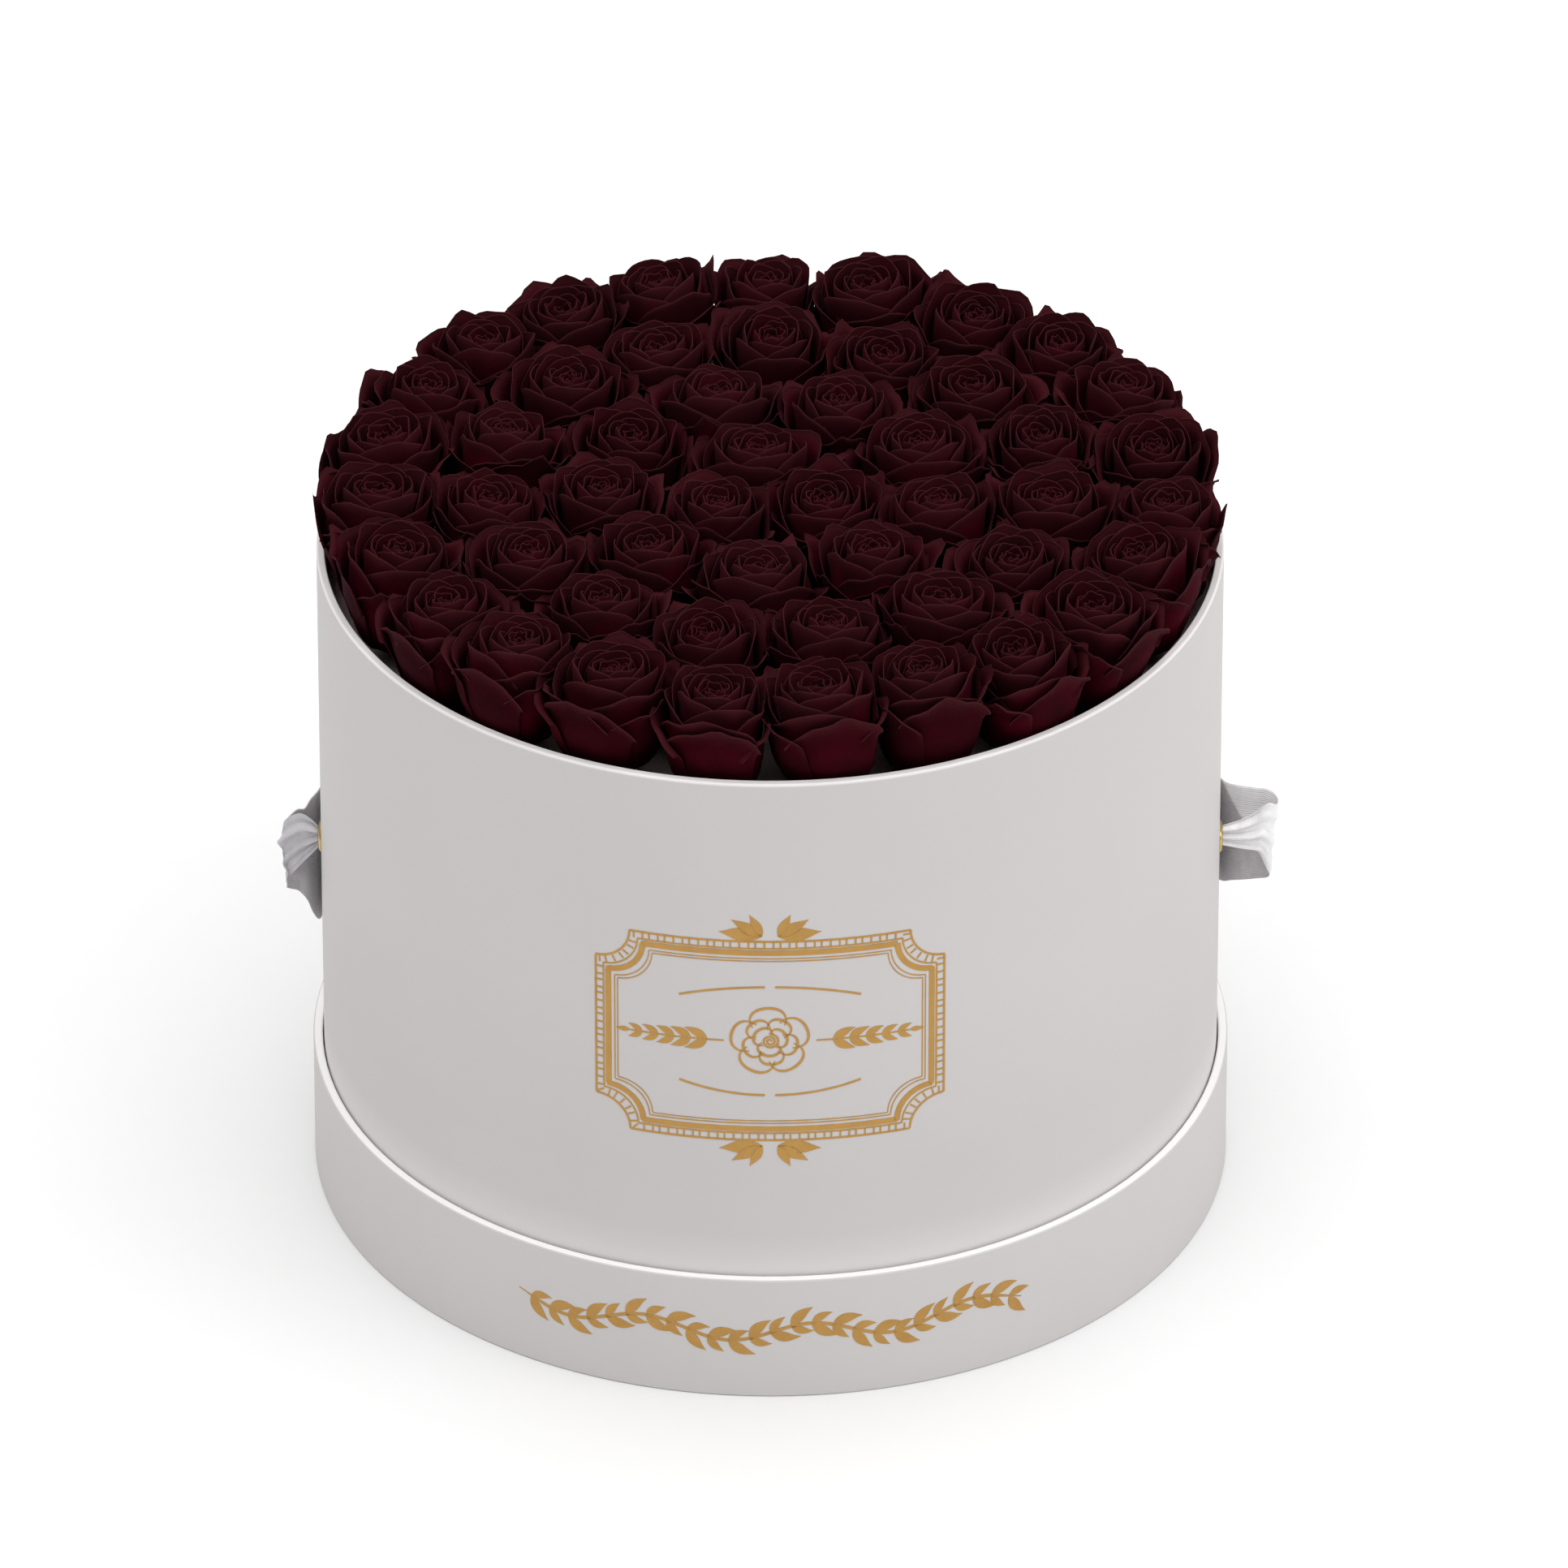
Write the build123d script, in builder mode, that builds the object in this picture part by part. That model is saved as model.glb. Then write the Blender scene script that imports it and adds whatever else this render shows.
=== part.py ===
"""Round flower box with ribbon handles, standing in its own lid and filled with preserved roses.

Frame: +Z up, the origin at the middle of the lid's underside, +X to the right of the front,
which faces -Y. All sizes are in millimetres.
"""

import os
from math import cos, pi, radians, sin

from build123d import *

# The box
box_radius = 178.0  # outside of the tall wall
box_height = 281.6  # rim above the floor, with the box standing in its lid
wall = 3.5  # rigid board and its paper
base_thick = 3.0
rim_round = 0.9

# The lid, turned over under the box as a tray
lid_height = 54.4
lid_wall = 3.8
lid_panel_thick = 3.0
lid_round = 1.0
lid_gap = 0.5  # play between the box and the lid's wall
glue_gap = 0.1  # glue line round a disc inside its tube

# The foam that holds the stems, and the block that lifts it
foam_drop = 22.0  # foam top below the rim
foam_thick = 55.0
foam_gap = 0.5

# The roses: four rings, from the middle outwards
ring_counts = [3, 9, 15, 23]
ring_turns = [95.0, 66.0, 90.0, 90.0]  # the first rose of each ring, in degrees from +X
bloom_gap = 0.5
bloom_rise = 32.0  # bloom top above the rim
bloom_waist = 15.0  # the widest part of a bloom above the rim
calyx_radius = 6.0
stem_radius = 2.5
stem_depth = 38.0  # how far a stem goes into the foam
stem_gap = 0.1
calyx_clear = 2.0  # calyx above the foam

# The ribbon handles and their eyelets
handle_height = 143.6  # eyelets above the floor
eyelet_spread = 25.0  # angle between a handle's two eyelets
first_eyelet = 0.0  # the front eyelet is behind the side of the box by this angle
eyelet_bore = 3.6
eyelet_barrel = 0.6
eyelet_flange = 6.5
eyelet_back = 5.8
flange_thick = 1.1
back_thick = 0.8
back_seat = 0.15  # play for the flat back flange on the curved wall
eyelet_play = 0.1
ribbon_width = 46.0
ribbon_thick = 1.2
ribbon_reach = 21.8  # the loop stands out from the wall by this much
ribbon_bow = 4.0  # the loop's middle stands out further by this much
ribbon_neck = 2.0  # half the height of the gathered ribbon at an eyelet
ribbon_flare = 17.0  # the ribbon has its full width this far from the eyelets
ribbon_play = 0.3  # between the swinging loop and the ribbon's end in the eyelet
fold_radius = 7.0
bow_radius = 60.0
knot_radius = 8.0
knot_length = 15.0
knot_room = 6.0  # free space between the knots and the filler block

# Worked out from the sizes above
inside_radius = box_radius - wall
lid_inside = box_radius + lid_gap
base_bottom = lid_panel_thick
base_top = base_bottom + base_thick
foam_top = box_height - foam_drop
foam_bottom = foam_top - foam_thick
knot_front = -(wall + back_seat + back_thick + ribbon_play)
swing_out = flange_thick + ribbon_neck  # the loop swings about this point outside each eyelet
filler_radius = inside_radius + knot_front + wall - knot_length - knot_room

# Blooms are as wide as the outer ring's share of the wall, side by side
outer_share = sin(pi / ring_counts[-1])
bloom_radius = inside_radius * outer_share / (1 + outer_share) - bloom_gap / 2
outer_ring = inside_radius - bloom_radius - bloom_gap / 2
inner_ring = (bloom_radius + bloom_gap / 2) / sin(pi / ring_counts[0])
ring_pitch = (outer_ring - inner_ring) / (len(ring_counts) - 1)


def save(part, node):
    """Label a finished piece and write it as its node's STEP file."""
    part.label = node
    export_step(part, f"parts/{node}.step")


def rose_places():
    """The middle of each rose, ring by ring from the middle of the box outwards."""
    places = []
    for ring, count in enumerate(ring_counts):
        radius = inner_ring + ring * ring_pitch
        for place in range(count):
            angle = radians(ring_turns[ring] + place * 360 / count)
            places.append((radius * cos(angle), radius * sin(angle)))
    return places


def eyelet_plane(angle):
    """A plane on the wall at an eyelet, with its normal straight out of the box."""
    turn = radians(angle)
    out = (cos(turn), sin(turn), 0)
    place = (box_radius * out[0], box_radius * out[1], handle_height)
    return Plane(origin=place, x_dir=(0, 0, 1), z_dir=out)


def eyelet_section(angle):
    """A plane through an eyelet's axis: its first axis is up, its second straight out of the box."""
    seat = eyelet_plane(angle)
    return Plane(origin=seat.origin, x_dir=seat.x_dir, z_dir=seat.x_dir.cross(seat.z_dir))


def make_lid():
    with BuildPart() as lid_ring:
        with BuildSketch(Plane.XY):
            Circle(lid_inside + lid_wall)
            Circle(lid_inside, mode=Mode.SUBTRACT)
        extrude(amount=lid_height)
        top = lid_ring.faces().sort_by(Axis.Z)[-1]
        fillet(top.edges(), radius=lid_round)
    save(lid_ring.part, "tray_ring")

    with BuildPart() as lid_panel:
        with BuildSketch(Plane.XY):
            Circle(lid_inside - glue_gap)
        extrude(amount=lid_panel_thick)
    save(lid_panel.part, "tray_panel")


def make_box():
    with BuildPart() as box_tube:
        with BuildSketch(Plane.XY.offset(base_bottom)):
            Circle(box_radius)
            Circle(inside_radius, mode=Mode.SUBTRACT)
        extrude(amount=box_height - base_bottom)
        top = box_tube.faces().sort_by(Axis.Z)[-1]
        fillet(top.edges(), radius=rim_round)
        for angle in eyelet_angles:
            with BuildSketch(eyelet_plane(angle)):
                Circle(eyelet_bore + eyelet_barrel + eyelet_play)
            extrude(amount=-2 * wall, mode=Mode.SUBTRACT)
    save(box_tube.part, "box_tube")

    with BuildPart() as box_base:
        with BuildSketch(Plane.XY.offset(base_bottom)):
            Circle(inside_radius - glue_gap)
        extrude(amount=base_thick)
    save(box_base.part, "box_base")


def make_filling():
    with BuildPart() as filler_block:
        with BuildSketch(Plane.XY.offset(base_top)):
            Circle(filler_radius)
        extrude(amount=foam_bottom - base_top)
    save(filler_block.part, "filler_block")

    with BuildPart() as foam_block:
        with BuildSketch(Plane.XY.offset(foam_bottom)):
            Circle(inside_radius - foam_gap)
        extrude(amount=foam_thick)
        with BuildSketch(Plane.XY.offset(foam_top)):
            with Locations(*rose_places()):
                Circle(stem_radius + stem_gap)
        extrude(amount=-stem_depth, mode=Mode.SUBTRACT)
    save(foam_block.part, "foam_block")


def make_rose(place, node):
    """A closed goblet for the bloom, from the calyx up, on its round stem."""
    stem_bottom = foam_top - stem_depth
    calyx = foam_top + calyx_clear
    top = box_height + bloom_rise
    waist = box_height + bloom_waist
    middle = Plane(origin=(place[0], place[1], 0), x_dir=(1, 0, 0), z_dir=(0, -1, 0))
    with BuildPart() as rose:
        with BuildSketch(middle):
            with BuildLine():
                Polyline(
                    (0, top - 3),
                    (0, stem_bottom),
                    (stem_radius, stem_bottom),
                    (stem_radius, calyx),
                    (calyx_radius, calyx + 2),
                    (bloom_radius * 0.93, box_height + 4),
                )
                ThreePointArc(
                    (bloom_radius * 0.93, box_height + 4),
                    (bloom_radius, waist),
                    (bloom_radius * 0.9, top - 6),
                )
                ThreePointArc(
                    (bloom_radius * 0.9, top - 6),
                    (bloom_radius * 0.72, top),
                    (bloom_radius * 0.45, top - 1),
                )
                Line((bloom_radius * 0.45, top - 1), (0, top - 3))
            make_face()
        revolve(axis=Axis((place[0], place[1], 0), (0, 0, 1)))
    save(rose.part, node)


def make_eyelets():
    """A barrel through the wall, a rounded flange outside and a flat one rolled over inside."""
    barrel = eyelet_bore + eyelet_barrel
    back = -(wall + back_seat)
    with BuildPart() as eyelets:
        for angle in eyelet_angles:
            with BuildSketch(eyelet_section(angle)):
                with BuildLine():
                    Polyline(
                        (eyelet_bore, flange_thick),
                        (eyelet_bore, back - back_thick),
                        (eyelet_back, back - back_thick),
                        (eyelet_back, back),
                        (barrel, back),
                        (barrel, 0),
                        (eyelet_flange, 0),
                    )
                    ThreePointArc(
                        (eyelet_flange, 0),
                        (eyelet_flange - 0.6, flange_thick * 0.75),
                        (eyelet_flange - 1.6, flange_thick),
                    )
                    Line((eyelet_flange - 1.6, flange_thick), (eyelet_bore, flange_thick))
                make_face()
            revolve(axis=Axis(eyelet_plane(angle).origin, eyelet_plane(angle).z_dir))
    save(eyelets.part, "eyelets")


def make_knots():
    """The ribbon's gathered end through each eyelet, and the knot that holds it inside."""
    neck = eyelet_bore - 2 * eyelet_play
    mouth = flange_thick - ribbon_play
    with BuildPart() as knots:
        for angle in eyelet_angles:
            with BuildSketch(eyelet_section(angle)):
                with BuildLine():
                    Polyline(
                        (0, mouth),
                        (neck, mouth),
                        (neck, knot_front),
                        (knot_radius * 0.6, knot_front),
                    )
                    ThreePointArc(
                        (knot_radius * 0.6, knot_front),
                        (knot_radius, knot_front - knot_length / 2),
                        (knot_radius * 0.6, knot_front - knot_length),
                    )
                    Polyline(
                        (knot_radius * 0.6, knot_front - knot_length),
                        (0, knot_front - knot_length),
                        (0, mouth),
                    )
                make_face()
            revolve(axis=Axis(eyelet_plane(angle).origin, eyelet_plane(angle).z_dir))
    save(knots.part, "ribbon_knots")


def make_ribbon(middle, node):
    """A band that stands out from the wall at both eyelets and narrows to a round neck there."""
    turn = radians(middle)
    out = (cos(turn), sin(turn), 0)
    along = (out[1], -out[0], 0)
    half_spread = radians(eyelet_spread / 2)
    chord = box_radius * cos(half_spread)
    place = (chord * out[0], chord * out[1], handle_height)
    seen_from_above = Plane(origin=place, x_dir=along, z_dir=(0, 0, 1))
    seen_from_end = Plane(origin=place, x_dir=out, z_dir=along)

    def from_eyelet(distance, side):
        """A point straight out of one eyelet, seen from above."""
        across = box_radius * sin(half_spread) + distance * sin(half_spread)
        return (side * across, distance * cos(half_spread))

    pivot = swing_out * cos(half_spread)
    with BuildPart() as ribbon:
        with BuildSketch(seen_from_above):
            with BuildLine():
                FilletPolyline(
                    from_eyelet(0, -1),
                    from_eyelet(ribbon_reach, -1),
                    (0, ribbon_reach + ribbon_bow),
                    from_eyelet(ribbon_reach, 1),
                    from_eyelet(0, 1),
                    radius=[fold_radius, bow_radius, fold_radius],
                )
            trace(line_width=ribbon_thick)
        extrude(amount=ribbon_width / 2, both=True)
        with BuildSketch(seen_from_end):
            with BuildLine():
                ThreePointArc(
                    (pivot, ribbon_neck),
                    (pivot - ribbon_neck, 0),
                    (pivot, -ribbon_neck),
                )
                Polyline(
                    (pivot, -ribbon_neck),
                    (ribbon_flare, -ribbon_width / 2),
                    (2 * ribbon_reach, -ribbon_width / 2),
                    (2 * ribbon_reach, ribbon_width / 2),
                    (ribbon_flare, ribbon_width / 2),
                    (pivot, ribbon_neck),
                )
            make_face()
        extrude(amount=box_radius / 2, both=True, mode=Mode.INTERSECT)
    save(ribbon.part, node)


right_middle = first_eyelet + eyelet_spread / 2
left_middle = 180 - right_middle
eyelet_angles = []
for handle_middle in (right_middle, left_middle):
    eyelet_angles.append(handle_middle - eyelet_spread / 2)
    eyelet_angles.append(handle_middle + eyelet_spread / 2)

os.makedirs("parts", exist_ok=True)
make_lid()
make_box()
make_filling()
for number, rose_place in enumerate(rose_places(), start=1):
    make_rose(rose_place, f"rose_{number:02d}")
make_eyelets()
make_knots()
make_ribbon(right_middle, "ribbon_right")
make_ribbon(left_middle, "ribbon_left")
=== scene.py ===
"""The looks of a round flower box: papered walls, gold foil, satin handles and fifty roses.

Everything is in metres, in the frame of the CAD model: +Z up, the front faces -Y.
"""

import bpy
import numpy as np
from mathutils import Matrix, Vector


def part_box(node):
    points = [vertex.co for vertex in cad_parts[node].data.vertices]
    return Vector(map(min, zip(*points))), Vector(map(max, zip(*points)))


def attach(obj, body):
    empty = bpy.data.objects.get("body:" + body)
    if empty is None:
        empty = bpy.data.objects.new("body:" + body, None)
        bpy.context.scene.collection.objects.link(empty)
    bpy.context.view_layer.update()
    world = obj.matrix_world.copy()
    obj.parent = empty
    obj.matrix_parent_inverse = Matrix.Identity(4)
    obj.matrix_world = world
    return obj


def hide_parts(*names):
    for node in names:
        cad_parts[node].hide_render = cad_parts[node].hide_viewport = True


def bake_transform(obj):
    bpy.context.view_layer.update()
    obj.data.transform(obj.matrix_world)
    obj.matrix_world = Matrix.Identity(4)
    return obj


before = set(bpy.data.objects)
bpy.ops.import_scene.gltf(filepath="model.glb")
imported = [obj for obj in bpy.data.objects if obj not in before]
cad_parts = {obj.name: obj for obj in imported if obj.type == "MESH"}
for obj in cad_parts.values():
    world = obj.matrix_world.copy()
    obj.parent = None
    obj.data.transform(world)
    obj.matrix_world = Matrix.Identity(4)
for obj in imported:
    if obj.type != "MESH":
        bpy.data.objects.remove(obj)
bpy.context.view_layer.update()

MM = 0.001

# Places and sizes, read from the CAD pieces
box_low, box_high = (np.array(c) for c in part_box("box_tube"))
lid_low, lid_high = (np.array(c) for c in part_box("tray_ring"))
eyelets_low, eyelets_high = (np.array(c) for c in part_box("eyelets"))
BOX_RADIUS = (box_high[0] - box_low[0]) / 2
RIM = box_high[2]
LID_RADIUS = (lid_high[0] - lid_low[0]) / 2
LID_RIM = lid_high[2]
FOAM_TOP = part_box("foam_block")[1][2]
INSIDE_RADIUS = BOX_RADIUS - 3.5 * MM  # the wall and its lining
HANDLE_Z = (eyelets_low[2] + eyelets_high[2]) / 2


# ---------------------------------------------------------------- camera, floor and light

def point_at(thing, target):
    """Turn a camera or light so that it looks at a point."""
    away = thing.location - Vector(target)
    thing.rotation_euler = away.to_track_quat("Z", "Y").to_euler()


def add_camera():
    """A long lens, raised 32.6 degrees, in front of the box."""
    target = np.array([0.0054, 0.0, 0.1680])
    raised, distance = np.radians(32.629), 7.037
    camera = bpy.data.objects.new("camera", bpy.data.cameras.new("camera"))
    camera.data.lens = 408.5
    camera.data.sensor_width = 36
    camera.data.clip_end = 100
    camera.location = target + distance * np.array([0, -np.cos(raised), np.sin(raised)])
    point_at(camera, target)
    bpy.context.collection.objects.link(camera)
    bpy.context.scene.camera = camera


def add_light(name, place, target, size, power):
    """A square soft light that looks at a point."""
    lamp = bpy.data.lights.new(name, "AREA")
    lamp.size, lamp.energy = size, power
    light = bpy.data.objects.new(name, lamp)
    light.location = place
    point_at(light, target)
    bpy.context.collection.objects.link(light)


def add_stage():
    """A pale paper floor under an even white sky, a large soft light above and one to the right."""
    scene = bpy.context.scene
    scene.view_settings.view_transform = "Standard"
    world = bpy.data.worlds.new("sky")
    scene.world = world
    world.use_nodes = True
    world.node_tree.nodes["Background"].inputs[0].default_value = (1, 1, 1, 1)
    world.node_tree.nodes["Background"].inputs[1].default_value = 0.50
    add_light("top_light", (0.0, -0.2, 3.0), (0, 0, 0), 5.0, 145)
    add_light("side_light", (2.6, -0.9, 1.2), (0, 0, 0.15), 1.4, 13)
    half = 8.0
    corners = [(-half, -half, 0), (half, -half, 0), (half, half, 0), (-half, half, 0)]
    mesh = bpy.data.meshes.new("floor")
    mesh.from_pydata(corners, [], [(0, 1, 2, 3)])
    floor = bpy.data.objects.new("floor", mesh)
    floor.location.z = -0.4 * MM
    mesh.materials.append(floor_finish())
    bpy.context.collection.objects.link(floor)


# ---------------------------------------------------------------- materials

PAPER_DARK = (0.553, 0.531, 0.525)
PAPER_LIGHT = (0.594, 0.570, 0.564)
PETAL_DARK = (0.020, 0.0006, 0.0024)
PETAL_LIGHT = (0.066, 0.0008, 0.0078)
PETAL_DEEP = (0.018, 0.0014, 0.0030)
# painted sheen on the petals' lips, and a painted highlight as a thin line along their rims
PETAL_LIP_SHEEN = (0.045, 0.0082, 0.0108)
PETAL_RIM_HIGHLIGHT = (0.054, 0.014, 0.017)


def new_material(name):
    """An empty node material with its shader: (material, nodes, links, shader)."""
    material = bpy.data.materials.new(name)
    material.use_nodes = True
    nodes, links = material.node_tree.nodes, material.node_tree.links
    return material, nodes, links, nodes["Principled BSDF"]


def mix_colours(nodes, links, mask, dark, light):
    """A colour between two, by a mask: the Mix node's colour output."""
    mix = nodes.new("ShaderNodeMix")
    mix.data_type = "RGBA"
    for socket, value in ((mix.inputs[6], dark), (mix.inputs[7], light)):
        if isinstance(value, tuple):
            socket.default_value = (*value, 1)
        else:
            links.new(value, socket)
    links.new(mask, mix.inputs[0])
    return mix.outputs[2]


def map_range(nodes, links, value, low, high, to_low=0.0, to_high=1.0):
    """A value mapped from low and high to two others, and held there beyond them."""
    node = nodes.new("ShaderNodeMapRange")
    node.inputs["From Min"].default_value, node.inputs["From Max"].default_value = low, high
    node.inputs["To Min"].default_value, node.inputs["To Max"].default_value = to_low, to_high
    links.new(value, node.inputs["Value"])
    return node.outputs[0]


def calculate(nodes, links, operation, *values, kind="ShaderNodeMath"):
    """A Math or Vector Math node: each value is a number, a tuple or a socket."""
    node = nodes.new(kind)
    node.operation = operation
    for socket, value in zip(node.inputs, values):
        if isinstance(value, bpy.types.NodeSocket):
            links.new(value, socket)
        else:
            socket.default_value = value
    return node.outputs[0]


def scale_colour(nodes, links, colour, factor):
    """A colour times a factor, which is a number or a socket."""
    node = nodes.new("ShaderNodeVectorMath")
    node.operation = "SCALE"
    links.new(colour, node.inputs[0])
    if isinstance(factor, bpy.types.NodeSocket):
        links.new(factor, node.inputs["Scale"])
    else:
        node.inputs["Scale"].default_value = factor
    return node.outputs[0]


def split(nodes, links, vector):
    """The three outputs of a vector: x, y and z."""
    node = nodes.new("ShaderNodeSeparateXYZ")
    links.new(vector, node.inputs[0])
    return node.outputs


def average(nodes, links, first, second, share):
    """A value between two others."""
    node = nodes.new("ShaderNodeMix")
    node.inputs[0].default_value = share
    links.new(first, node.inputs[2])
    links.new(second, node.inputs[3])
    return node.outputs[0]


def add_noise(nodes, links, vector, scale, detail, stretch=None):
    """A noise of a fixed scale, which may be stretched along its map."""
    noise = nodes.new("ShaderNodeTexNoise")
    noise.inputs["Scale"].default_value, noise.inputs["Detail"].default_value = scale, detail
    if stretch:
        stretched = nodes.new("ShaderNodeMapping")
        stretched.inputs["Scale"].default_value = stretch
        links.new(vector, stretched.inputs["Vector"])
        vector = stretched.outputs[0]
    links.new(vector, noise.inputs["Vector"])
    return noise.outputs[0]


def read_map(nodes, name):
    """A piece's own map."""
    node = nodes.new("ShaderNodeUVMap")
    node.uv_map = name
    return node.outputs[0]


def read_value(nodes, name):
    """A number that a piece's points carry."""
    node = nodes.new("ShaderNodeAttribute")
    node.attribute_name = name
    return node.outputs["Fac"]


def make_grain_group():
    """Mottling and fine grain: a colour mask around 0.5 and a height for a Bump node."""
    group = bpy.data.node_groups.new("grain", "ShaderNodeTree")
    face = group.interface
    face.new_socket(name="Mottle size", in_out="INPUT", socket_type="NodeSocketFloat")
    face.new_socket(name="Grain size", in_out="INPUT", socket_type="NodeSocketFloat")
    face.new_socket(name="Mask", in_out="OUTPUT", socket_type="NodeSocketFloat")
    face.new_socket(name="Height", in_out="OUTPUT", socket_type="NodeSocketFloat")
    nodes, links = group.nodes, group.links
    given, made = nodes.new("NodeGroupInput"), nodes.new("NodeGroupOutput")
    place = nodes.new("ShaderNodeTexCoord")
    mottle, grain = nodes.new("ShaderNodeTexNoise"), nodes.new("ShaderNodeTexNoise")
    for noise, size, detail in ((mottle, "Mottle size", 4), (grain, "Grain size", 3)):
        noise.inputs["Detail"].default_value = detail
        links.new(place.outputs["Object"], noise.inputs["Vector"])
        links.new(given.outputs[size], noise.inputs["Scale"])
    links.new(average(nodes, links, mottle.outputs[0], grain.outputs[0], 0.35), made.inputs["Mask"])
    links.new(grain.outputs[0], made.inputs["Height"])
    return group


def add_grain(nodes, mottle, grain):
    """The grain group placed in a material, with its own sizes."""
    node = nodes.new("ShaderNodeGroup")
    node.node_tree = grain_group
    node.inputs["Mottle size"].default_value = mottle
    node.inputs["Grain size"].default_value = grain
    return node


def add_bump(nodes, links, height, shader, strength, distance):
    """A Bump node from a height to the shader's normal."""
    bump = nodes.new("ShaderNodeBump")
    bump.inputs["Strength"].default_value = strength
    bump.inputs["Distance"].default_value = distance
    links.new(height, bump.inputs["Height"])
    links.new(bump.outputs[0], shader.inputs["Normal"])


def grained_finish(name, dark, light, roughness, mottle, grain, bump, metallic=0.0):
    """A surface whose colour runs between two, with fine relief: bump is its strength and depth."""
    material, nodes, links, shader = new_material(name)
    group = add_grain(nodes, mottle, grain)
    colour = mix_colours(nodes, links, group.outputs["Mask"], dark, light)
    links.new(colour, shader.inputs["Base Color"])
    shader.inputs["Roughness"].default_value = roughness
    shader.inputs["Metallic"].default_value = metallic
    add_bump(nodes, links, group.outputs["Height"], shader, *bump)
    return material


def floor_finish():
    """Matt white paper."""
    return grained_finish(
        "floor_paper", (0.80, 0.80, 0.80), (0.83, 0.83, 0.83), 0.8, 3, 60, (0.02, 0.001))


def seamed(nodes, links, place, colour):
    """The paper's colour with a thin darker line up the back, where the wrap overlaps itself."""
    x, y, _ = split(nodes, links, place)
    aside = calculate(nodes, links, "ABSOLUTE", x)
    line = map_range(nodes, links, aside, 0.1 * MM, 0.3 * MM, to_low=0.70)
    front = calculate(nodes, links, "LESS_THAN", y, 0)
    return scale_colour(nodes, links, colour, calculate(nodes, links, "MAXIMUM", line, front))


def painted_light_by_height(nodes, links, place, colour, heights):
    """The paper's colour times a factor that changes up the wall, as painted light and shade: pairs of
    height and factor.

    The ramp holds half of each factor, because its colours end at 1.
    """
    low, high = heights[0][0], heights[-1][0]
    ramp = nodes.new("ShaderNodeValToRGB")
    stops = ramp.color_ramp.elements
    while len(stops) < len(heights):
        stops.new(0.5)
    for stop, (height, factor) in zip(stops, heights):
        stop.position = (height - low) / (high - low)
        stop.color = (factor / 2, factor / 2, factor / 2, 1)
    links.new(map_range(nodes, links, split(nodes, links, place)[2], low, high), ramp.inputs[0])
    shaded = calculate(
        nodes, links, "MULTIPLY", colour, ramp.outputs[0], kind="ShaderNodeVectorMath")
    return scale_colour(nodes, links, shaded, 2)


def papered_finish(name, inner_colour, edge_low, edge_high, heights=None):
    """Smooth grey paper outside and another paper inside: a mask of the distance from the axis. Given
    heights paint light and shade up the outside paper.
    """
    material, nodes, links, shader = new_material(name)
    group = add_grain(nodes, 14, 900)
    outside = mix_colours(nodes, links, group.outputs["Mask"], PAPER_DARK, PAPER_LIGHT)
    place = nodes.new("ShaderNodeTexCoord").outputs["Object"]
    outside = seamed(nodes, links, place, outside)
    # painted light and shade by height, on the outside paper only
    if heights:
        outside = painted_light_by_height(nodes, links, place, outside, heights)
    flat = calculate(nodes, links, "MULTIPLY", place, (1, 1, 0), kind="ShaderNodeVectorMath")
    radius = nodes.new("ShaderNodeVectorMath")
    radius.operation = "LENGTH"
    links.new(flat, radius.inputs[0])
    edge = map_range(nodes, links, radius.outputs["Value"], edge_low, edge_high)
    colour = mix_colours(nodes, links, edge, inner_colour, outside)
    links.new(colour, shader.inputs["Base Color"])
    shader.inputs["Roughness"].default_value = 0.55
    add_bump(nodes, links, group.outputs["Height"], shader, 0.12, 0.0001)
    return material


def box_finish():
    """Charcoal lining inside the box, and painted light and shade up the paper outside: painted bounce
    light at its foot just above the lid, a band of painted shade above that, and a painted highlight
    on its rim.
    """
    # painted light and shade: bounce light from the lid at the foot, shade above it, a highlight on
    # the rim
    heights = [
        (LID_RIM - 36 * MM, 1.0), (LID_RIM - 10 * MM, 1.06), (LID_RIM + 2 * MM, 1.14),
        (LID_RIM + 8 * MM, 1.05), (LID_RIM + 18 * MM, 0.965), (LID_RIM + 45 * MM, 0.95),
        (LID_RIM + 120 * MM, 0.99), (RIM - 1.2 * MM, 0.99), (RIM - 0.5 * MM, 1.45),
    ]
    return papered_finish(
        "box_paper", (0.060, 0.052, 0.049),
        INSIDE_RADIUS + 0.3 * MM, INSIDE_RADIUS + 0.7 * MM, heights)


def lid_finish():
    """White lining inside the lid and over its rim."""
    return papered_finish(
        "lid_paper", (0.90, 0.89, 0.885), LID_RADIUS - 0.8 * MM, LID_RADIUS - 0.3 * MM)


def foil_finish():
    """Pressed gold foil: ochre metal, a little rough and uneven."""
    return grained_finish(
        "gold_foil", (0.36, 0.19, 0.045), (0.56, 0.32, 0.085), 0.42, 120, 1500, (0.25, 0.0001),
        metallic=0.55)


def brass_finish():
    """Polished brass."""
    return grained_finish(
        "brass", (0.42, 0.29, 0.09), (0.72, 0.54, 0.24), 0.18, 60, 900, (0.05, 0.0001), metallic=1.0)


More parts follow.
